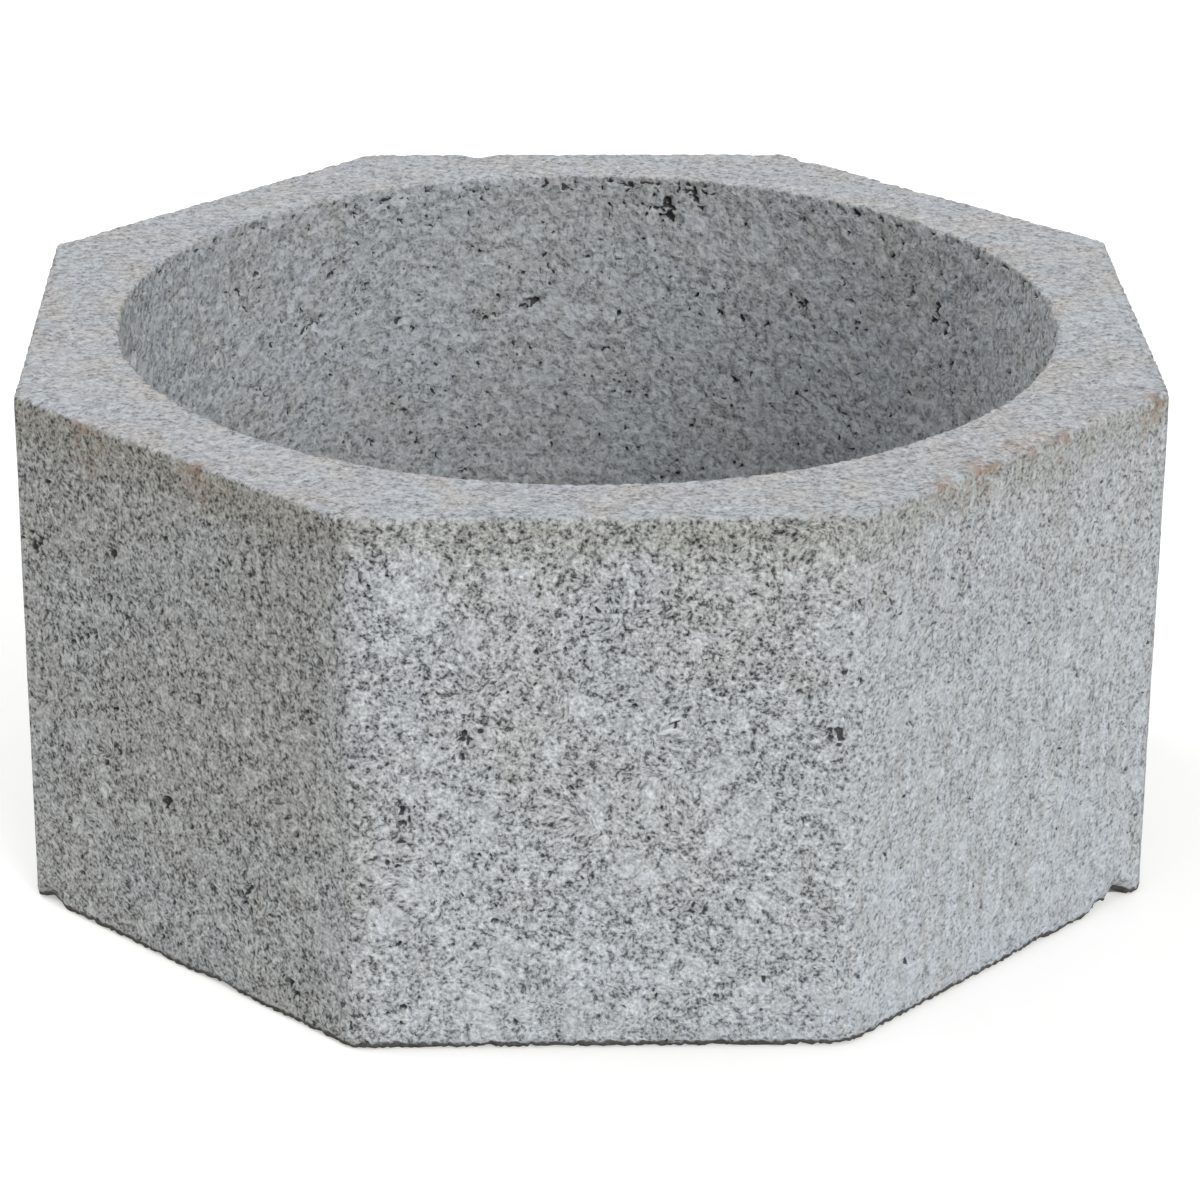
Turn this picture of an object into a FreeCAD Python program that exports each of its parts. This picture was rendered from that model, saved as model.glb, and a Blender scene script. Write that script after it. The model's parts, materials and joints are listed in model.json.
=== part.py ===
"""Chimney flue liner: one cast ring of porous lightweight concrete.

The outside is an eight-sided prism, and the flue is a plain round bore along its axis. Four faces
stand square to X and Y; the four corner faces between them stand at 45 degrees. The bed faces at
the top and bottom are flat, with no rebate, so the rings stack bore over bore.

Frame: millimetres, +Z up the flue, origin at the centre of the flue on the lower bed face.
"""

import FreeCAD
import Part

import os

# Driving dimensions
flue_diameter = 343.0  # bore, a 13 1/2 in flue
square_wall = 31.5  # thinnest wall, behind the faces square to X and Y
corner_wall = 32.5  # thinnest wall, behind the 45 degree corner faces
height = 196.0  # one course of lining, bed face to bed face
upright_radius = 4.0  # rounding of the eight upright arrises, as the mould leaves them
arris_radius = 1.5  # rounding of the arrises round both bed faces

NODE = "flue_liner"
THICKEST_ROUNDING = 0.4  # no rounding takes more than this share of the wall or height it is on

up = FreeCAD.Vector(0, 0, 1)
axis_foot = FreeCAD.Vector(0, 0, 0)


def prism_across(across_flats, turned_by=0.0):
    """A square prism of the liner's height, centred on the flue axis."""
    corner = FreeCAD.Vector(-across_flats / 2, -across_flats / 2, 0)
    prism = Part.makeBox(across_flats, across_flats, height, corner)
    prism.rotate(axis_foot, up, turned_by)
    return prism


def is_upright(edge):
    low, high = edge.BoundBox.ZMin, edge.BoundBox.ZMax
    return high - low > height / 2 and isinstance(edge.Curve, Part.Line)


def on_bed_face(edge):
    bounds = edge.BoundBox
    flat = bounds.ZLength < arris_radius / 10
    return flat and min(abs(bounds.ZMin), abs(bounds.ZMax - height)) < arris_radius / 10


def outside():
    """The eight-sided prism that two squares, one turned by 45 degrees, have in common."""
    square = prism_across(flue_diameter + 2 * square_wall)
    turned = prism_across(flue_diameter + 2 * corner_wall, turned_by=45)
    prism = square.common(turned)
    radius = min(upright_radius, THICKEST_ROUNDING * min(square_wall, corner_wall))
    return prism.makeFillet(radius, [edge for edge in prism.Edges if is_upright(edge)])


def flue_liner():
    flue = Part.makeCylinder(flue_diameter / 2, height, axis_foot, up)
    ring = outside().cut(flue)
    radius = min(arris_radius, THICKEST_ROUNDING * min(square_wall, corner_wall, height))
    return ring.makeFillet(radius, [edge for edge in ring.Edges if on_bed_face(edge)])


os.makedirs("parts", exist_ok=True)
liner = flue_liner()
liner.exportStep(os.path.join("parts", NODE + ".step"))
print(f"{NODE}: {len(liner.Solids)} solid, {liner.Volume / 1e6:.3f} litres, valid {liner.isValid()}")
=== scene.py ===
import json
import math

import bpy
import numpy as np
from mathutils import Matrix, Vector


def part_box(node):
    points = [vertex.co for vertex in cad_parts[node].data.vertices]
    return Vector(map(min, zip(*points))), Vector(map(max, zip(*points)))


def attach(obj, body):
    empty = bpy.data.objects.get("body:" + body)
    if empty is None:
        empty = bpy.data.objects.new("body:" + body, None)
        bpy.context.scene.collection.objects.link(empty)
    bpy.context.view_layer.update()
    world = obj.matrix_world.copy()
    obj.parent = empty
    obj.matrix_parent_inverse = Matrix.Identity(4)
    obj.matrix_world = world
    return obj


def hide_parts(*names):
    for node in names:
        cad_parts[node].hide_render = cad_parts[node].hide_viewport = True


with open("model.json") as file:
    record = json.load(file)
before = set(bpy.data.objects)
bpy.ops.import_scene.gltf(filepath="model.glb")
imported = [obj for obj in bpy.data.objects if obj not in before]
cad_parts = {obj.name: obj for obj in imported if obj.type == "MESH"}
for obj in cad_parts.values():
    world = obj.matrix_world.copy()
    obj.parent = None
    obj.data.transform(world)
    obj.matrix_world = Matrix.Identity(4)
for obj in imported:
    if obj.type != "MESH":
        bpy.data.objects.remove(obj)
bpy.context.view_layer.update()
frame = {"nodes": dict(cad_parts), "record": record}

# The looks of the chimney flue liner: one ring cast in porous lightweight concrete.
#
# The casting is a dense grid of its own smooth shape, pushed in by a recipe of voids, grains and
# broken arrises, and then thinned to where the relief is. The material reads the same recipe at
# each point's place in the smooth shape, so its colour and bump lie where the relief does.

MM = 0.001
record = frame["record"]
LINER = "flue_liner"


def mount(name):
    return next(m for m in record["mounts"] if m["name"] == name)


# ---------------------------------------------------------------- the smooth shape, in metres
low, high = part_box(LINER)
HEIGHT = high.z - low.z
SQUARE_HALF = (high.x - low.x) / 2
CORNER_HALF = max((v.co.x + v.co.y) / math.sqrt(2) for v in frame["nodes"][LINER].data.vertices)
FLUE_RADIUS = mount("flue_bore")["dims"]["r_mm"] * MM
UPRIGHT_RADIUS = 2.5 * MM
ARRIS_RADIUS = 1.5 * MM

FACES = 8
FACE_TURN = 2 * math.pi / FACES
FRONT_FACE = 6  # faces are counted anticlockwise from the one that faces +X
LEFT_FRONT_FACE = 5
RIGHT_FRONT_FACE = 7

GRID = 0.9 * MM  # cell of the dense grid
ARRIS_ROWS = 3  # rows round each rounded arris
ARC_POINTS = 9  # points round each rounded upright
BED_CELLS_WIDE = 1.25  # a little over the mean width of a bed, in its least widths
MAP_GAP = 6 * MM  # between the strips of the flat map
TURN_REACH = 7.0 * MM  # how far from an arris the relief's direction starts to turn

# Upright arrises worn rounder than the mould left them: radius at the foot and at the top, by the
# face that stands clockwise of the arris.
WORN_UPRIGHTS = {
    FRONT_FACE: (17.0 * MM, 9.0 * MM),
    RIGHT_FRONT_FACE: (7.0 * MM, 5.0 * MM),
    LEFT_FRONT_FACE: (3.0 * MM, 2.6 * MM),
}
MOST_TRIANGLES = 196000

GRIT_SIZE = 1.2  # millimetres, as are all sizes in the recipe


def face_half(k):
    return SQUARE_HALF if k % 2 == 0 else CORNER_HALF


def corner_point(k):
    """The sharp corner between face k and face k + 1."""
    a, b = k * FACE_TURN, (k + 1) * FACE_TURN
    normals = np.array([[math.cos(a), math.sin(a)], [math.cos(b), math.sin(b)]])
    return np.linalg.solve(normals, [face_half(k), face_half(k + 1)])


def outline():
    """Points and distances round the outside, with the upright arrises rounded, and the distance
    at which each corner stands. It starts in the middle of face 0."""
    tangent = UPRIGHT_RADIUS * math.tan(FACE_TURN / 2)
    points = [np.array([SQUARE_HALF, 0.0])]
    corner_index = []
    for k in range(FACES):
        corner = corner_point(k)
        turns = np.linspace(k * FACE_TURN, (k + 1) * FACE_TURN, ARC_POINTS)
        bisector = np.array([math.cos(turns.mean()), math.sin(turns.mean())])
        centre = corner - bisector * UPRIGHT_RADIUS / math.cos(FACE_TURN / 2)
        arc = [centre + UPRIGHT_RADIUS * np.array([math.cos(t), math.sin(t)]) for t in turns]
        corner_index.append(len(points) + len(turns) // 2)
        points += arc
    points.append(points[0])
    points = np.array(points)
    walked = np.concatenate([[0], np.cumsum(np.linalg.norm(np.diff(points, axis=0), axis=1))])
    return points, walked, walked[corner_index]


def columns():
    """For each column: outside point, bore point, both outward directions, relief direction and
    the signed distance to the nearest corner with that corner's number."""
    points, walked, corners = outline()
    count = round(walked[-1] / GRID)
    at = np.arange(count) * walked[-1] / count
    outer = np.stack([np.interp(at, walked, points[:, i]) for i in (0, 1)], 1)
    inward = outer / np.linalg.norm(outer, axis=1, keepdims=True)
    bore = inward * FLUE_RADIUS
    steps, turned = [0.0], [0.0]
    for k, corner in enumerate(corners):
        steps += [corner - TURN_REACH, corner + TURN_REACH]
        turned += [k * FACE_TURN, (k + 1) * FACE_TURN]
    steps.append(walked[-1])
    turned.append(2 * math.pi)
    soft = np.interp(at, steps, turned)
    exact = np.round(soft / FACE_TURN) * FACE_TURN
    offset = at[:, None] - corners[None, :]
    nearest = np.abs(offset).argmin(1)
    return {
        "at": at,
        "outer": outer,
        "bore": bore,
        "radial": inward,
        "normal": np.stack([np.cos(exact), np.sin(exact)], 1),
        "soft": np.stack([np.cos(soft), np.sin(soft)], 1),
        "corner": nearest,
        "from_corner": offset[np.arange(count), nearest],
    }


def rows():
    """For each row round the section, from the foot of the outside up, over the upper bed, down
    the bore and back across the lower bed: how much it hangs on the outside point, its inset from
    that face, its height, the turn of its relief direction, its distance from the nearest arris,
    and how far it belongs to a bed and to the flue."""
    upright = HEIGHT - 2 * ARRIS_RADIUS
    thick = SQUARE_HALF - FLUE_RADIUS
    climb = np.linspace(0, 1, round(upright / GRID) + 1)
    across = np.linspace(0, 1, round(BED_CELLS_WIDE * thick / GRID) + 1)
    turn = np.linspace(0, math.pi / 2, ARRIS_ROWS + 1)[1:-1]
    inset, rise = ARRIS_RADIUS * (1 - np.cos(turn)), ARRIS_RADIUS * np.sin(turn)
    still = np.full_like
    parts = [
        (still(climb, 1), still(climb, 0), ARRIS_RADIUS + climb * upright),
        (still(turn, 1), inset, HEIGHT - ARRIS_RADIUS + rise),
        (1 - across, still(across, ARRIS_RADIUS), still(across, HEIGHT)),
        (still(turn, 0), inset[::-1], HEIGHT - ARRIS_RADIUS + rise[::-1]),
        (still(climb, 0), still(climb, 0), HEIGHT - ARRIS_RADIUS - climb * upright),
        (still(turn, 0), inset, ARRIS_RADIUS - rise),
        (across, still(across, ARRIS_RADIUS), still(across, 0)),
        (still(turn, 1), inset[::-1], ARRIS_RADIUS - rise[::-1]),
    ]
    share, inset, height = (np.concatenate([part[i] for part in parts]) for i in range(3))
    reach = thick * (1 - share) + np.where(share > 0.5, inset, -inset)
    walk = np.hypot(np.diff(reach, append=reach[0]), np.diff(height, append=height[0]))
    at = np.concatenate([[0], np.cumsum(walk)[:-1]])
    lengths = [len(part[0]) for part in parts]
    middles = np.cumsum(lengths)[0::2] + (ARRIS_ROWS - 1) / 2
    arrises = np.interp(middles[:4] - 0.5, np.arange(len(at)), at)
    arrises[3] = walk.sum() - ARRIS_RADIUS * math.pi / 4
    steps, turned = [-TURN_REACH], [0.0]
    for k, arris in enumerate(arrises):
        steps += [arris - TURN_REACH, arris + TURN_REACH]
        turned += [k * math.pi / 2, (k + 1) * math.pi / 2]
    round_trip = walk.sum()
    wrapped = np.where(at < steps[-1] - round_trip, at + round_trip, at)
    soft = np.interp(wrapped, steps, turned)
    away = np.abs(at[:, None] - arrises[None, :])
    away = np.minimum(away, round_trip - away).min(1)
    sine = np.sin(turn)
    zones = [
        (still(climb, 0), still(climb, 0)),
        (sine, still(turn, 0)),
        (still(across, 1), still(across, 0)),
        (sine[::-1], 1 - sine[::-1]),
        (still(climb, 0), still(climb, 1)),
        (sine, 1 - sine),
        (still(across, 1), still(across, 0)),
        (sine[::-1], still(turn, 0)),
    ]
    bed, flue = (np.concatenate([zone[i] for zone in zones]) for i in (0, 1))
    return {
        "share": share,
        "inset": inset,
        "height": height,
        "turn": soft,
        "from_arris": away,
        "bed": bed,
        "flue": flue,
    }


def build_grid():
    """The dense grid: places, faces and what each place knows about the smooth shape."""
    col, row = columns(), rows()
    n, m = len(col["at"]), len(row["share"])
    share, inset = row["share"][None, :, None], row["inset"][None, :, None]
    outer = col["outer"][:, None] - col["normal"][:, None] * inset
    bore = col["bore"][:, None] + col["radial"][:, None] * inset
    level = share * col["soft"][:, None] + (1 - share) * col["radial"][:, None]
    level /= np.linalg.norm(level, axis=2, keepdims=True)

    def per_row(values):
        return np.broadcast_to(values[None, :, None], (n, m, 1))

    place = np.concatenate([share * outer + (1 - share) * bore, per_row(row["height"])], 2)
    turn = row["turn"]
    outward = np.concatenate([level * np.cos(turn)[None, :, None], per_row(np.sin(turn))], 2)
    i, j = np.meshgrid(np.arange(n), np.arange(m), indexing="ij")
    i2, j2 = (i + 1) % n, (j + 1) % m
    quads = np.stack([i * m + j, i2 * m + j, i2 * m + j2, i * m + j2], 2)
    known = {
        "cast_place": place.reshape(-1, 3),
        "outward": outward.reshape(-1, 3),
        "from_arris": per_row(row["from_arris"]).ravel(),
        "bed": per_row(row["bed"]).ravel(),
        "flue": per_row(row["flue"]).ravel(),
        "worn": worn_uprights(col, row).ravel(),
    }
    return known, quads.reshape(-1, 4)


def worn_uprights(col, row):
    """How far the worn upright arrises lie inside the moulded ones, at each column and row."""
    depth = np.zeros((len(col["at"]), len(row["share"])))
    for corner, (foot_radius, top_radius) in WORN_UPRIGHTS.items():
        here = col["corner"] == corner
        radius = foot_radius + (top_radius - foot_radius) * row["height"][None, :] / HEIGHT
        reach = radius * math.tan(FACE_TURN / 2)
        sagitta = radius * (1 / math.cos(FACE_TURN / 2) - 1)
        beside = np.clip(1 - np.abs(col["from_corner"][here, None]) / reach, 0, 1)
        depth[here] = sagitta * beside**2 * row["share"][None, :]
    return depth


def new_mesh(name, places, faces):
    mesh = bpy.data.meshes.new(name)
    sides = faces.shape[1]
    mesh.vertices.add(len(places))
    mesh.vertices.foreach_set("co", places.astype(np.float32).ravel())
    mesh.loops.add(faces.size)
    mesh.loops.foreach_set("vertex_index", faces.astype(np.int32).ravel())
    mesh.polygons.add(len(faces))
    mesh.polygons.foreach_set("loop_start", np.arange(0, faces.size, sides, dtype=np.int32))
    mesh.update(calc_edges=True)
    return mesh


def give(mesh, name, values):
    kind, field = ("FLOAT", "value") if values.ndim == 1 else ("FLOAT_VECTOR", "vector")
    layer = mesh.attributes.new(name, kind, "POINT")
    layer.data.foreach_set(field, values.astype(np.float32).ravel())


# ---------------------------------------------------------------- nodes, for both kinds of tree
class Nodes:
    """Adds nodes to a geometry or a material tree. An input is a number, a tuple or a socket."""

    def __init__(self, tree):
        self.tree = tree
        self.for_shader = tree.bl_idname == "ShaderNodeTree"

    def add(self, kind, settings=None, inputs=None):
        node = self.tree.nodes.new(kind)
        for name, value in (settings or {}).items():
            setattr(node, name, value)
        for key, value in (inputs or {}).items():
            if isinstance(value, bpy.types.NodeSocket):
                self.tree.links.new(value, node.inputs[key])
            else:
                node.inputs[key].default_value = value
        return node

    def read(self, name, kind="FLOAT"):
        """A value that the mesh holds at each point."""
        if self.for_shader:
            node = self.add("ShaderNodeAttribute", {"attribute_name": name})
            return node.outputs["Fac" if kind == "FLOAT" else "Vector"]
        return self.add("GeometryNodeInputNamedAttribute", {"data_type": kind}, {"Name": name}).outputs[0]

    def math(self, operation, *values, clamp=False):
        inputs = dict(enumerate(values))
        return self.add("ShaderNodeMath", {"operation": operation, "use_clamp": clamp}, inputs).outputs[0]

    def sum(self, *values):
        total = values[0]
        for value in values[1:]:
            total = self.math("ADD", total, value)
        return total

    def times(self, *values):
        product = values[0]
        for value in values[1:]:
            product = self.math("MULTIPLY", product, value)
        return product

    def less(self, value):
        return self.math("SUBTRACT", 1.0, value)

    def vector(self, operation, a, b):
        key = "Scale" if operation == "SCALE" else 1
        return self.add("ShaderNodeVectorMath", {"operation": operation}, {0: a, key: b}).outputs[0]

    def part(self, vector, axis):
        return self.add("ShaderNodeSeparateXYZ", None, {0: vector}).outputs[axis]

    def ramp(self, value, start, end, low=0.0, high=1.0, shape="SMOOTHSTEP"):
        """low before start, high after end, and smooth between them. start may be above end."""
        if start > end:
            start, end, low, high = end, start, high, low
        inputs = {"Value": value, "From Min": start, "From Max": end, "To Min": low, "To Max": high}
        return self.add("ShaderNodeMapRange", {"interpolation_type": shape}, inputs).outputs[0]

    def noise(self, place, size, detail=2.0, roughness=0.5, colour=False, shift=0.0):
        """Cloudy noise about 0.5, with lumps of about that size."""
        if shift:
            place = self.vector("ADD", place, (shift, -shift, shift * 0.7))
        inputs = {"Vector": place, "Scale": 1 / size, "Detail": detail, "Roughness": roughness}
        return self.add("ShaderNodeTexNoise", None, inputs).outputs[1 if colour else 0]

    def cells(self, place, size, shift):
        """Distance to the nearest cell's point, as a length, and that cell's random colour."""
        place = self.vector("ADD", place, (shift, shift * 0.6, -shift))
        node = self.add("ShaderNodeTexVoronoi", {"feature": "F1"}, {"Vector": place, "Scale": 1 / size})
        return self.times(node.outputs["Distance"], size), node.outputs["Color"]

    def mix(self, factor, a, b):
        """Colour a, or b where factor is 1."""
        node = self.add("ShaderNodeMix", {"data_type": "RGBA"})
        for key, value in ((0, factor), (6, a), (7, b)):
            if isinstance(value, bpy.types.NodeSocket):
                self.tree.links.new(value, node.inputs[key])
            else:
                node.inputs[key].default_value = value if key == 0 else (*value, 1.0)
        return node.outputs[2]


# ---------------------------------------------------------------- colours
WHITE = (1.0, 1.0, 1.0)
PASTE = (0.384, 0.392, 0.393)
PASTE_WARM = (0.378, 0.376, 0.362)
PASTE_COOL = (0.392, 0.406, 0.424)
# Whitened paste of the drag streaks, and painted bounce light from the floor towards the foot.
BLOOM_AND_BOUNCE_LIGHT = (0.475, 0.505, 0.545)
GRAIN = (0.500, 0.515, 0.530)
# Near black of the pores: their darker paste, and painted shade in them.
PORE_DARK_AND_SHADE = (0.020, 0.020, 0.022)
# Dark of the voids: their darker inside, and painted shade in them.
VOID_DARK_AND_SHADE = (0.075, 0.074, 0.072)
BED = (0.366, 0.375, 0.390)
TAN = (0.398, 0.362, 0.330)
RUST = (0.270, 0.180, 0.125)
# Olive darkening: damp, and painted shade on the faces away from the key light.
DAMP_AND_SHADE = (0.78, 0.76, 0.725)
EARTH_AND_CONTACT_SHADOW = (0.055, 0.048, 0.038)
# The foot line: painted contact shadow, brownish like earth.
OLIVE = (0.270, 0.260, 0.215)
FLOOR = (0.71, 0.695, 0.665)
FLOOR_GLOW = 0.36  # seen by the camera only, so that the floor is as pale as the background
HORIZON_LIGHT = (1.0, 0.985, 0.955)
OVERHEAD_LIGHT = (0.95, 0.99, 1.03)
KEY_LIGHT = (0.98, 1.0, 1.015)
FILL_LIGHT = (0.99, 1.0, 1.01)


# ---------------------------------------------------------------- the recipe, in millimetres
def broad_fields(n):
    """The slow changes over the casting. The mesh keeps them, so the material only reads them."""
    place = n.vector("SCALE", n.read("cast_place", "FLOAT_VECTOR"), 1 / MM)
    return {
        "clusters": n.noise(place, 26.0, 2.0, 0.6, shift=53.0),
        "unevenness": n.noise(place, 11.0, 2.0, shift=31.0),
        "tint": n.noise(place, 60.0, 3.0, 0.6, shift=101.0),
        "patches": n.noise(place, 17.0, 3.0, 0.6, shift=113.0),
    }


def grains(n, place, size, least, most, share, shift):
    """Aggregate grains, 1 on a grain, each with its own radius, and a random tone for each. share
    of the cells hold one."""
    far, colour = n.cells(place, size, shift=shift)
    wide = n.part(colour, 1)
    radius = n.ramp(n.times(wide, wide), 0.0, 1.0, least, most, "LINEAR")
    inside = n.ramp(n.math("SUBTRACT", radius, far), -0.1, 0.6)
    return n.times(inside, n.math("LESS_THAN", n.part(colour, 0), share)), n.part(colour, 2)


def concrete(n, broad):
    """What the concrete is like at each place: fields from 0 to 1."""
    place = n.vector("SCALE", n.read("cast_place", "FLOAT_VECTOR"), 1 / MM)
    bed, flue, closed = n.read("bed"), n.read("flue"), n.read("closed")
    from_arris = n.math("DIVIDE", n.read("from_arris"), MM)
    up = n.part(place, 2)
    wall = n.times(n.less(bed), n.less(flue))
    wander = n.noise(place, 2.6, 0.0, colour=True)
    bent = n.vector("ADD", place, n.vector("SCALE", wander, 2.2))

    # Under the upper arris the mix was pressed finer.
    top = HEIGHT / MM
    band_edge = n.sum(up, n.times(broad["unevenness"], 16.0))
    fine_band = n.times(wall, n.ramp(band_edge, top - 14.0, top + 2.0))

    grain, grain_tone = grains(n, bent, 8.0, 0.9, 5.6, 0.72, 3.0)
    grain = n.times(grain, n.less(n.times(fine_band, 0.85)), n.ramp(bed, 0.0, 1.0, 1.0, 0.35, "LINEAR"))

    # Voids stand open between the grains, in loose clusters.
    loose = n.sum(
        n.ramp(broad["clusters"], 0.40, 0.66, -0.030, 0.035, "LINEAR"),
        n.times(flue, 0.02),
        n.times(bed, -0.075),
        n.times(fine_band, -0.035),
        n.times(closed, -0.025),
        n.times(n.read("open_spot"), 0.21),
        n.times(n.ramp(from_arris, 8.0, 0.5), flue, n.ramp(up, 150.0, 175.0), 0.09),
    )
    gaps = n.sum(n.noise(bent, 3.0, 1.0, 0.55, shift=71.0), n.times(grain, 0.08))
    void = n.ramp(n.math("SUBTRACT", n.sum(loose, 0.305), gaps), 0.0, 0.07)

    # Pores are what is left between the sand grains: fine, dense and angular.
    grit = n.noise(place, GRIT_SIZE, 2.0, 0.6, shift=11.0)
    lots = n.noise(bent, 2.6, 0.0, shift=91.0)
    tight = n.sum(
        n.times(grain, 0.17),
        n.times(closed, 0.02),
        n.times(bed, 0.02),
        n.ramp(lots, 0.2, 0.8, -0.10, 0.10, "LINEAR"),
        n.ramp(broad["clusters"], 0.35, 0.65, 0.02, -0.02, "LINEAR"),
    )
    pore = n.ramp(n.sum(grit, tight), 0.44, 0.04, shape="LINEAR")
    return {
        "place": place,
        "up": up,
        "bed": bed,
        "flue": flue,
        "wall": wall,
        "closed": closed,
        "from_arris": from_arris,
        "fine_band": fine_band,
        "grain": grain,
        "grain_tone": grain_tone,
        "void": void,
        "pore": pore,
        "grit": grit,
        "lots": lots,
    }


def relief(n, c):
    """How far the surface stands outside the smooth shape, in millimetres: 0 or less."""
    place = c["place"]
    deep = n.ramp(n.noise(place, 9.0, 1.0, shift=5.0), 0.35, 0.65, 1.1, 2.6, "LINEAR")
    deep = n.times(deep, n.ramp(c["flue"], 0.0, 1.0, 1.0, 1.35, "LINEAR"))
    sunk = n.times(c["void"], deep)

    # The bore's former drags the mix, so its wall is lumpy where the outside is flat.
    lumps = n.ramp(n.noise(place, 7.0, 2.0, 0.6, shift=13.0), 0.3, 0.7, 1.7, 0.0, "LINEAR")
    sunk = n.sum(sunk, n.times(lumps, c["flue"]))
    waves = n.ramp(n.noise(place, 45.0, 1.0, shift=23.0), 0.3, 0.7, 0.35, 0.0, "LINEAR")
    sunk = n.sum(sunk, n.times(waves, n.less(c["flue"])))

    # Broken arrises: crumbs everywhere, chips here and there, and most at the foot.
    foot = n.ramp(c["up"], 12.0, 2.0)
    crumbs = n.ramp(n.noise(place, 2.6, 2.0, 0.6, shift=37.0), 0.42, 0.68, 0.0, 0.9, "LINEAR")
    crumbs = n.times(crumbs, n.ramp(c["from_arris"], 3.0, 0.3), n.ramp(foot, 0.0, 1.0, 0.8, 1.2, "LINEAR"))
    chips = n.ramp(n.noise(place, 9.0, 3.0, 0.65, shift=43.0), 0.55, 0.68, 0.0, 2.0)
    chips = n.times(chips, n.ramp(c["from_arris"], 5.0, 0.5), n.ramp(foot, 0.0, 1.0, 0.3, 0.5, "LINEAR"))
    broken = n.times(n.read("broken"), n.ramp(n.noise(place, 6.0, 2.0), 0.3, 0.7, 0.75, 1.15, "LINEAR"))
    worn = n.math("DIVIDE", n.read("worn"), MM)
    sunk = n.sum(sunk, crumbs, chips, n.math("DIVIDE", broken, MM), worn)
    return n.times(sunk, -1.0)


def fine_relief(n, c):
    """The relief that is too fine for the mesh, in millimetres."""
    sand = n.ramp(c["grit"], 0.3, 0.7, -0.16, 0.16, "LINEAR")
    lumps = n.ramp(c["lots"], 0.3, 0.7, -0.4, 0.4, "LINEAR")
    sand = n.sum(sand, n.times(lumps, n.sum(n.times(c["flue"], 0.6), n.times(c["wall"], 0.4))))
    pits = n.sum(n.times(c["pore"], -0.40), n.times(c["void"], -0.8))
    return n.times(n.sum(pits, sand), n.ramp(c["closed"], 0.0, 1.0, 1.0, 0.45, "LINEAR"))


def surface_colour(n, c, broad):
    """Paste, grains, whitened drag streaks with painted bounce light at the foot, olive darkening from
    moisture with painted shade, rust, pores with painted shade, earth with a painted contact shadow,
    painted shade in the bore, and voids with painted shade, in the order in which they came.
    """
    place = c["place"]
    colour = n.mix(n.ramp(broad["tint"], 0.42, 0.62), PASTE, PASTE_COOL)
    colour = n.mix(n.times(n.ramp(broad["patches"], 0.50, 0.68), 0.6), colour, PASTE_WARM)
    colour = n.mix(c["bed"], colour, BED)
    colour = n.mix(n.times(n.ramp(broad["patches"], 0.42, 0.62), c["bed"], 0.6), colour, TAN)
    colour = n.mix(n.times(c["fine_band"], 0.45), colour, OLIVE)
    shown = n.ramp(c["grain_tone"], 0.0, 1.0, 0.2, 1.0, "LINEAR")
    shown = n.times(shown, n.ramp(c["flue"], 0.0, 1.0, 1.0, 0.6, "LINEAR"))
    colour = n.mix(n.times(c["grain"], shown), colour, GRAIN)

    # Paste dragged up and down the mould dries whiter, in streaks; the whitening grows towards the foot as
    # painted bounce light from the floor.
    drag = n.noise(n.vector("MULTIPLY", place, (1.0, 1.0, 0.13)), 3.0, 1.0, shift=61.0)
    bloom_and_bounce_light = n.times(n.ramp(drag, 0.32, 0.68, 0.1, 1.0, "LINEAR"), n.ramp(c["closed"], 0.0, 0.75), c["wall"])
    # Stronger towards the foot: painted bounce light from the floor.
    bloom_and_bounce_light = n.times(bloom_and_bounce_light, n.ramp(c["up"], 0.0, HEIGHT / MM, 0.95, 0.4, "LINEAR"))
    colour = n.mix(bloom_and_bounce_light, colour, BLOOM_AND_BOUNCE_LIGHT)
    # Damp and painted shade darken each outside face towards olive, the left-front face most.
    damp_and_shade = n.mix(n.read("damp_and_shade"), WHITE, DAMP_AND_SHADE)
    colour = n.vector("MULTIPLY", colour, damp_and_shade)

    # Sand and small lumps are lighter and darker, less so where paste has closed the surface.
    evened = n.times(
        n.ramp(c["closed"], 0.0, 1.0, 1.0, 0.4, "LINEAR"),
        n.ramp(c["bed"], 0.0, 1.0, 1.0, 0.7, "LINEAR"),
        n.ramp(c["flue"], 0.0, 1.0, 1.0, 0.55, "LINEAR"),
        n.ramp(c["grain"], 0.0, 1.0, 1.05, 0.75, "LINEAR"),
    )
    coarse = n.sum(1.5, n.times(c["flue"], 1.5), n.times(c["bed"], 0.7))
    tones = n.sum(
        n.ramp(c["grit"], 0.25, 0.75, -0.72, 0.62, "LINEAR"),
        n.times(n.ramp(c["lots"], 0.2, 0.8, -0.22, 0.22, "LINEAR"), coarse),
    )
    colour = n.vector("SCALE", colour, n.sum(n.times(tones, evened), 1.0))
    rusty = n.ramp(n.noise(place, 5.0, 2.0, 0.65, shift=127.0), 0.42, 0.60)
    colour = n.mix(n.times(n.read("stained"), rusty, 0.75), colour, RUST)
    # Pores are painted near black: their darker paste, with painted shade in them.
    colour = n.mix(n.times(c["pore"], evened, 1.4), colour, PORE_DARK_AND_SHADE)

    # A ragged dark line at the foot: painted contact shadow under the foot arris, brownish like clinging
    # earth.
    ragged = n.sum(c["up"], n.times(c["lots"], -3.0), n.times(c["grit"], -2.0))
    foot_shadow_and_earth = n.times(n.ramp(ragged, 0.3, -0.6), n.ramp(c["from_arris"], 5.0, 2.5))
    foot_shadow_and_earth = n.times(foot_shadow_and_earth, n.less(c["flue"]))
    colour = n.mix(n.times(foot_shadow_and_earth, 0.9), colour, EARTH_AND_CONTACT_SHADOW)
    # The bore is painted 7% darker: painted shade inside the flue.
    colour = n.vector("SCALE", colour, n.ramp(c["flue"], 0.0, 1.0, 1.0, 0.93, "LINEAR"))
    # Voids are painted dark: their darker inside, with painted shade over them.
    return n.mix(c["void"], colour, VOID_DARK_AND_SHADE)


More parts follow.
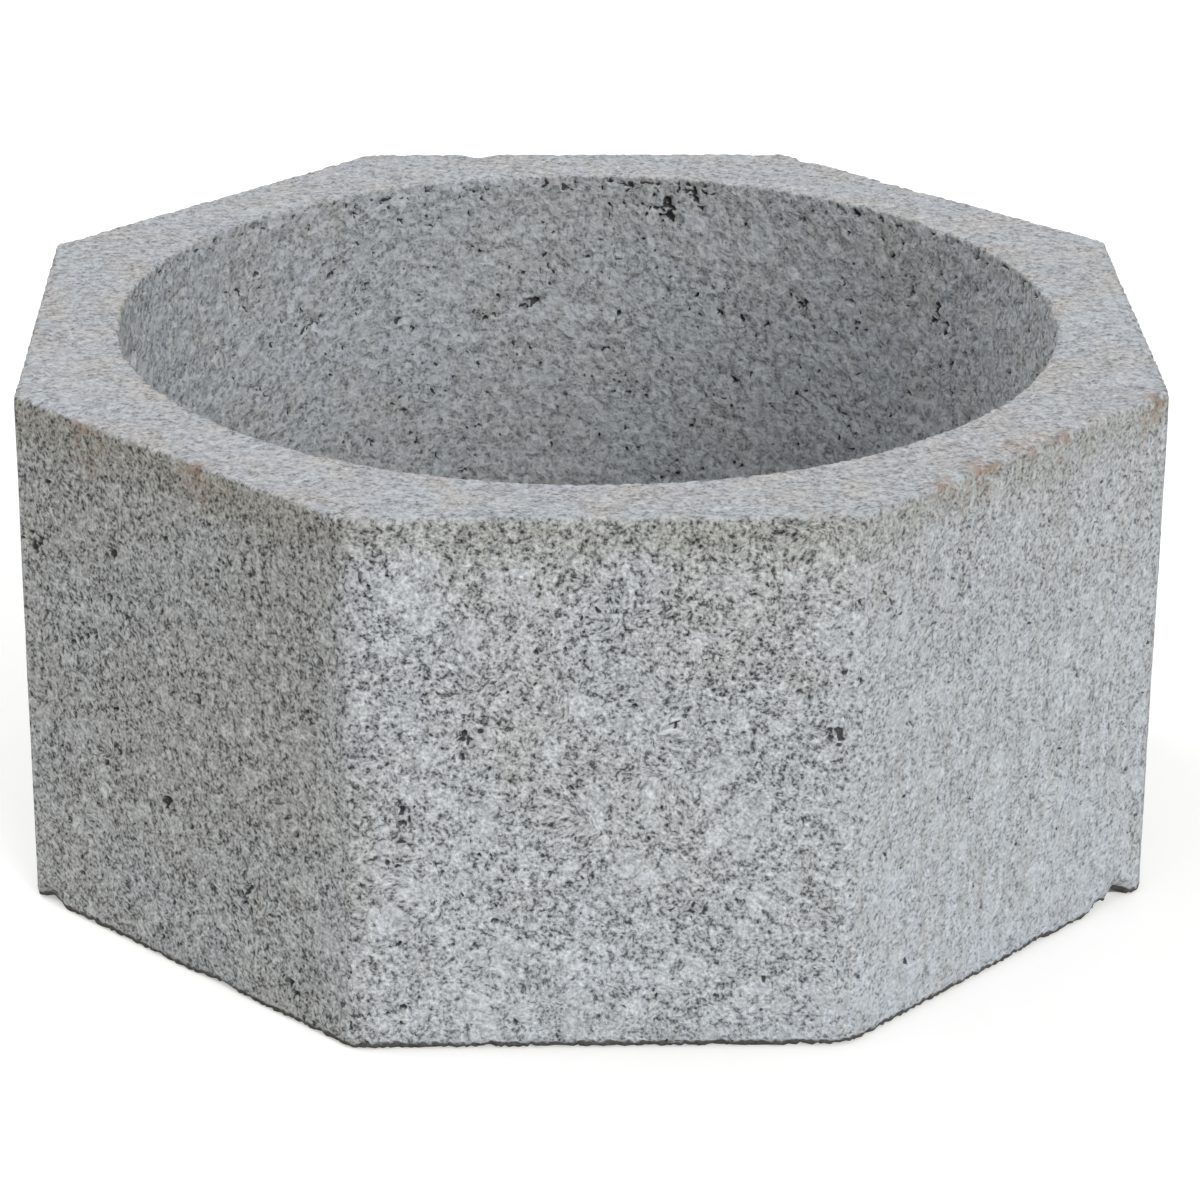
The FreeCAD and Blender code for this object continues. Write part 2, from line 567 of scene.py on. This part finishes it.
# ---------------------------------------------------------------- the casting
def spot(places, centre, radius):
    """1 at the centre, falling smoothly to 0 at the radius."""
    away = np.linalg.norm(places - np.array(centre), axis=1) / radius
    return np.clip(1 - away, 0, 1) ** 2 * (1 + 2 * np.clip(away, 0, 1))


def on_face(k, along, up):
    """A place on outside face k, so far along it to the right as seen from outside."""
    turn = k * FACE_TURN
    outward = np.array([math.cos(turn), math.sin(turn)])
    right = np.array([-math.sin(turn), math.cos(turn)])
    x, y = outward * face_half(k) + right * along * MM
    return x, y, up * MM


def in_flue(turn_deg, up):
    """A place on the bore's wall, at that turn from +X."""
    turn = math.radians(turn_deg)
    return FLUE_RADIUS * math.cos(turn), FLUE_RADIUS * math.sin(turn), up * MM


# Where the mix was looser: place, and radius in millimetres.
OPEN_SPOTS = [
    (on_face(FRONT_FACE, 78, 117), 8),
    (on_face(FRONT_FACE, -45, 118), 7),
    (on_face(FRONT_FACE, 10, 128), 7),
    (on_face(FRONT_FACE, -60, 135), 6),
    (on_face(RIGHT_FRONT_FACE, -68, 68), 7),
    (on_face(RIGHT_FRONT_FACE, -67, 138), 6),
    (on_face(RIGHT_FRONT_FACE, -69, 159), 5),
    (on_face(LEFT_FRONT_FACE, 33, 42), 9),
    (on_face(LEFT_FRONT_FACE, 46, 46), 8),
    (on_face(LEFT_FRONT_FACE, -8, 62), 8),
    (on_face(LEFT_FRONT_FACE, -46, 118), 8),
    (on_face(LEFT_FRONT_FACE, -74, 142), 7),
    (on_face(LEFT_FRONT_FACE, -32, 152), 7),
    (on_face(LEFT_FRONT_FACE, 55, 14), 7),
    (on_face(FRONT_FACE, -72, 70), 7),
    (on_face(FRONT_FACE, -66, 88), 7),
    (on_face(FRONT_FACE, 30, 52), 7),
    (on_face(RIGHT_FRONT_FACE, -52, 22), 6),
    (in_flue(96, 143), 8),
    (in_flue(78, 182), 11),
    (in_flue(74, 190), 9),
    (in_flue(115, 191), 10),
    (in_flue(58, 147), 11),
    (in_flue(50, 150), 9),
    (in_flue(35, 159), 9),
    (in_flue(130, 143), 9),
]

# Where pieces have broken away: place, radius and depth in millimetres.
BREAKS = [
    (on_face(RIGHT_FRONT_FACE, 69, 1), 9, 7.0),
    (on_face(RIGHT_FRONT_FACE, 60, 0), 9, 3.0),
    (on_face(RIGHT_FRONT_FACE, 20, 0), 12, 1.0),
    (on_face(LEFT_FRONT_FACE, -76, 1), 9, 3.0),
    (on_face(LEFT_FRONT_FACE, 15, 0), 16, 1.0),
    (on_face(2, 40, 196), 9, 1.5),
    (on_face(3, -60, 0), 16, 3.5),
    (on_face(1, 70, 196), 7, 1.3),
    (on_face(0, -30, 0), 14, 2.5),
]

# Rust and earth washed on from the upper arris: place and radius in millimetres.
STAINS = [
    (on_face(RIGHT_FRONT_FACE, -20, 195), 16),
    (on_face(RIGHT_FRONT_FACE, -42, 197), 12),
    (on_face(RIGHT_FRONT_FACE, 2, 196), 11),
    (on_face(RIGHT_FRONT_FACE, 22, 196), 11),
    (on_face(RIGHT_FRONT_FACE, 76, 193), 14),
    (on_face(LEFT_FRONT_FACE, -45, 190), 14),
    (on_face(LEFT_FRONT_FACE, 10, 191), 14),
    (on_face(2, -92, 193), 13),
    (on_face(4, 20, 190), 15),
    (in_flue(31, 168), 6),
]

# How far paste has closed the pores on each outside face, from face 0: at the foot and at the top.
CLOSED_FACES = [
    (0.35, 0.25),
    (0.2, 0.2),
    (0.1, 0.1),
    (0.3, 0.15),
    (0.15, 0.0),
    (0.0, 0.0),
    (0.4, 0.05),
    (0.85, 0.6),
]
CLOSED_FLUE = 0.4
CLOSED_BED = 0.55

# How far each outside face is darkened towards olive, from face 0: at the foot and at the top. It is damp,
# and painted shade that makes the left-front face, away from the key light, the darkest. Past 1 it is as
# dark as at 1.
DAMP_AND_SHADE_FACES = [
    (0.1, 0.2),
    (0.2, 0.3),
    (0.3, 0.5),
    (0.4, 0.6),
    (0.4, 0.7),
    (0.6, 1.15),
    (0.0, 0.25),
    (0.05, 0.5),
]


def face_values(known, faces):
    """Values given at the foot and top of each outside face, changing smoothly round each arris."""
    x, y, z = known["cast_place"].T
    turn = np.arctan2(y, x) / FACE_TURN % FACES
    edges = np.concatenate([[k - 0.44, k + 0.44] for k in range(FACES + 1)])
    foot, top = np.array([faces[k % FACES] for k in range(FACES + 1)]).T
    foot = np.interp(turn, edges, np.repeat(foot, 2))
    top = np.interp(turn, edges, np.repeat(top, 2))
    return foot + (top - foot) * z / HEIGHT


def closed_surface(known):
    """How far paste has closed the pores at each place."""
    wall = face_values(known, CLOSED_FACES)
    closed = wall + (CLOSED_FLUE - wall) * known["flue"]
    return closed + (CLOSED_BED - closed) * known["bed"]


def most_of(places, spots):
    """The strongest spot at each place: its depth in metres where the spots have one, else a share."""
    weight = np.zeros(len(places))
    for centre, radius, *depth in spots:
        strength = depth[0] * MM if depth else 1.0
        weight = np.maximum(weight, spot(places, centre, radius * MM) * strength)
    return weight


def relief_group():
    """Geometry nodes that push the casting in by the recipe, and keep the broad fields on it."""
    tree = bpy.data.node_groups.new("cast_relief", "GeometryNodeTree")
    for way in ("INPUT", "OUTPUT"):
        tree.interface.new_socket("Geometry", in_out=way, socket_type="NodeSocketGeometry")
    n = Nodes(tree)
    broad = broad_fields(n)
    geometry = n.add("NodeGroupInput").outputs[0]
    for name, value in broad.items():
        inputs = {"Geometry": geometry, "Name": name, "Value": value}
        geometry = n.add("GeometryNodeStoreNamedAttribute", {"data_type": "FLOAT"}, inputs).outputs[0]
    height = n.times(relief(n, concrete(n, broad)), MM)
    offset = n.vector("SCALE", n.read("outward", "FLOAT_VECTOR"), height)
    moved = n.add("GeometryNodeSetPosition", None, {"Geometry": geometry, "Offset": offset})
    n.add("NodeGroupOutput", None, {0: moved.outputs[0]})
    return tree


def final_mesh(obj):
    """The mesh that the modifiers leave, in the modifiers' place."""
    depsgraph = bpy.context.evaluated_depsgraph_get()
    mesh = bpy.data.meshes.new_from_object(obj.evaluated_get(depsgraph), depsgraph=depsgraph)
    obj.modifiers.clear()
    obj.data = mesh
    return mesh


def read_points(mesh, name, width=1):
    kept = mesh.attributes[name].data
    values = np.empty(len(kept) * width, dtype=np.float32)
    kept.foreach_get("value" if width == 1 else "vector", values)
    return values.reshape(-1, width) if width > 1 else values


def unroll(mesh):
    """A flat map of the surface in even scale: quarters of the outside and of the bore, then the
    beds as half rings."""
    corners = np.empty(len(mesh.loops), dtype=np.int32)
    mesh.loops.foreach_get("vertex_index", corners)
    sides = np.empty(len(mesh.polygons), dtype=np.int32)
    mesh.polygons.foreach_get("loop_total", sides)
    face = np.repeat(np.arange(len(sides)), sides)

    def of_face(values):
        return (np.bincount(face, values) / sides)[face]

    x, y, z = read_points(mesh, "cast_place", 3)[corners].T
    on_bed = of_face(read_points(mesh, "bed")[corners]) > 0.5
    in_bore = of_face(read_points(mesh, "flue")[corners]) > 0.5
    upper = of_face(z) > HEIGHT / 2
    faced = np.arctan2(of_face(y), of_face(x))
    turn = faced + (np.arctan2(y, x) - faced + math.pi) % (2 * math.pi)

    # The walls: each quarter is a column, the bore's above the outside's.
    outside = (SQUARE_HALF + CORNER_HALF) / 2
    quarter = np.floor((faced + math.pi) / (math.pi / 2)).clip(0, 3)
    along = turn - quarter * math.pi / 2
    wall_u = quarter * (HEIGHT + MAP_GAP) + z
    wall_v = np.where(in_bore, outside * math.pi / 2 + MAP_GAP + along * FLUE_RADIUS, along * outside)

    # The beds: four half rings laid straight above them.
    half = np.floor((faced + math.pi) / math.pi).clip(0, 1)
    foot = (outside + FLUE_RADIUS) * math.pi / 2 + 2 * MAP_GAP
    row = foot + (2 * half + upper) * (outside / math.cos(FACE_TURN / 2) - FLUE_RADIUS + MAP_GAP)
    bed_u = (turn - half * math.pi) * (outside + FLUE_RADIUS) / 2
    bed_v = row + np.hypot(x, y) - FLUE_RADIUS
    flat = np.where(on_bed, (bed_u, bed_v), (wall_u, wall_v)) + MAP_GAP
    flat /= flat.max() + MAP_GAP
    mesh.uv_layers.new(name="OFBake").uv.foreach_set("vector", flat.T.astype(np.float32).ravel())


def build_casting():
    known, quads = build_grid()
    places = known["cast_place"]
    known["open_spot"] = most_of(places, OPEN_SPOTS)
    known["broken"] = most_of(places, BREAKS)
    known["stained"] = most_of(places, STAINS)
    known["closed"] = closed_surface(known)
    # Damp and painted shade: each outside face darkened towards olive, the left-front face most.
    known["damp_and_shade"] = face_values(known, DAMP_AND_SHADE_FACES) * (1 - known["flue"]) * (1 - known["bed"])
    mesh = new_mesh("liner_casting", places, quads)
    for name, values in known.items():
        give(mesh, name, values)
    casting = bpy.data.objects.new("liner_casting", mesh)
    bpy.context.scene.collection.objects.link(casting)
    casting.modifiers.new("relief", "NODES").node_group = relief_group()
    thin = casting.modifiers.new("thin", "DECIMATE")
    thin.ratio = MOST_TRIANGLES / (2 * len(quads))
    thin.use_collapse_triangulate = True
    mesh = final_mesh(casting)
    mesh.shade_smooth()
    unroll(mesh)
    return casting


# ---------------------------------------------------------------- the material
def concrete_material():
    material = bpy.data.materials.new("porous_concrete")
    material.use_nodes = True
    tree = material.node_tree
    tree.nodes.clear()
    n = Nodes(tree)
    broad = {name: n.read(name) for name in ("clusters", "unevenness", "tint", "patches")}
    c = concrete(n, broad)
    height = n.times(fine_relief(n, c), MM)
    bump = n.add("ShaderNodeBump", None, {"Height": height, "Distance": 1.0, "Strength": 1.0})
    inputs = {"Base Color": surface_colour(n, c, broad), "Normal": bump.outputs[0], "Roughness": 0.94}
    shader = n.add("ShaderNodeBsdfPrincipled", None, inputs)
    shader.inputs["Specular IOR Level"].default_value = 0.25
    n.add("ShaderNodeOutputMaterial", None, {"Surface": shader.outputs[0]})
    return material


# ---------------------------------------------------------------- floor, light and camera
def build_floor():
    half = 12.0
    square = half * np.array([[-1, -1, 0], [1, -1, 0], [1, 1, 0], [-1, 1, 0]])
    mesh = new_mesh("floor", square, np.array([[0, 1, 2, 3]]))
    floor = bpy.data.objects.new("floor", mesh)
    bpy.context.scene.collection.objects.link(floor)
    material = bpy.data.materials.new("pale_floor")
    material.use_nodes = True
    tree = material.node_tree
    tree.nodes.clear()
    n = Nodes(tree)
    matt = n.add("ShaderNodeBsdfDiffuse", None, {"Color": (*FLOOR, 1.0)})
    glow = n.add("ShaderNodeEmission", None, {"Color": (*WHITE, 1.0)})
    seen = n.add("ShaderNodeLightPath").outputs["Is Camera Ray"]
    n.tree.links.new(n.times(seen, FLOOR_GLOW), glow.inputs["Strength"])
    both = n.add("ShaderNodeAddShader", None, {0: matt.outputs[0], 1: glow.outputs[0]})
    n.add("ShaderNodeOutputMaterial", None, {"Surface": both.outputs[0]})
    mesh.materials.append(material)


def build_world():
    """A soft sky, brighter overhead than at the horizon, and white behind the object."""
    world = bpy.data.worlds.new("studio")
    bpy.context.scene.world = world
    world.use_nodes = True
    tree = world.node_tree
    tree.nodes.clear()
    n = Nodes(tree)
    seen = n.add("ShaderNodeLightPath").outputs["Is Camera Ray"]
    up = n.part(n.add("ShaderNodeTexCoord").outputs["Generated"], 2)
    strength = n.ramp(up, 0.0, 1.0, 0.20, 1.00, "LINEAR")
    tint = n.mix(n.ramp(up, 0.0, 0.8, 0.0, 1.0, "LINEAR"), HORIZON_LIGHT, OVERHEAD_LIGHT)
    soft = n.add("ShaderNodeBackground", None, {"Color": tint, "Strength": strength})
    white = n.add("ShaderNodeBackground", None, {"Color": (*WHITE, 1.0), "Strength": 1.0})
    chosen = n.add("ShaderNodeMixShader", None, {0: seen, 1: soft.outputs[0], 2: white.outputs[0]})
    n.add("ShaderNodeOutputWorld", None, {"Surface": chosen.outputs[0]})


def build_lamp(name, bearing_deg, rise_deg, strength, softness_deg, colour):
    """A soft far lamp. Its bearing turns from the front, -Y, towards +X."""
    lamp = bpy.data.lights.new(name, "SUN")
    lamp.energy = strength * math.pi
    lamp.angle = math.radians(softness_deg)
    lamp.color = colour
    obj = bpy.data.objects.new(name, lamp)
    obj.rotation_euler = (math.radians(90 - rise_deg), 0, math.radians(bearing_deg))
    bpy.context.scene.collection.objects.link(obj)


def build_camera():
    """Looks at the middle of the liner from in front and above, with a long lens."""
    bearing, rise, roll = math.radians(-1.72), math.radians(22.82), math.radians(0.37)
    distance = 1.628
    aim_right, aim_up = 5.2 * MM, 81.4 * MM
    aim = ((low.x + high.x) / 2 + aim_right, (low.y + high.y) / 2, low.z + aim_up)
    level = distance * math.cos(rise)
    data = bpy.data.cameras.new("camera")
    data.sensor_width = 36.0
    data.lens = 128.8
    camera = bpy.data.objects.new("camera", data)
    camera.location = (
        aim[0] + level * math.sin(bearing),
        aim[1] - level * math.cos(bearing),
        aim[2] + distance * math.sin(rise),
    )
    tilted = Matrix.Rotation(math.pi / 2 - rise, 3, "X") @ Matrix.Rotation(roll, 3, "Z")
    camera.rotation_euler = (Matrix.Rotation(bearing, 3, "Z") @ tilted).to_euler("XYZ")
    bpy.context.scene.collection.objects.link(camera)
    bpy.context.scene.camera = camera


build_camera()
casting = build_casting()
casting.data.materials.append(concrete_material())
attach(casting, "root")
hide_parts(LINER)
build_floor()
build_world()
build_lamp("key", 32.0, 28.0, 0.61, 40.0, KEY_LIGHT)
build_lamp("fill", -118.0, 32.0, 0.48, 60.0, FILL_LIGHT)
bpy.context.scene.view_settings.view_transform = "Standard"
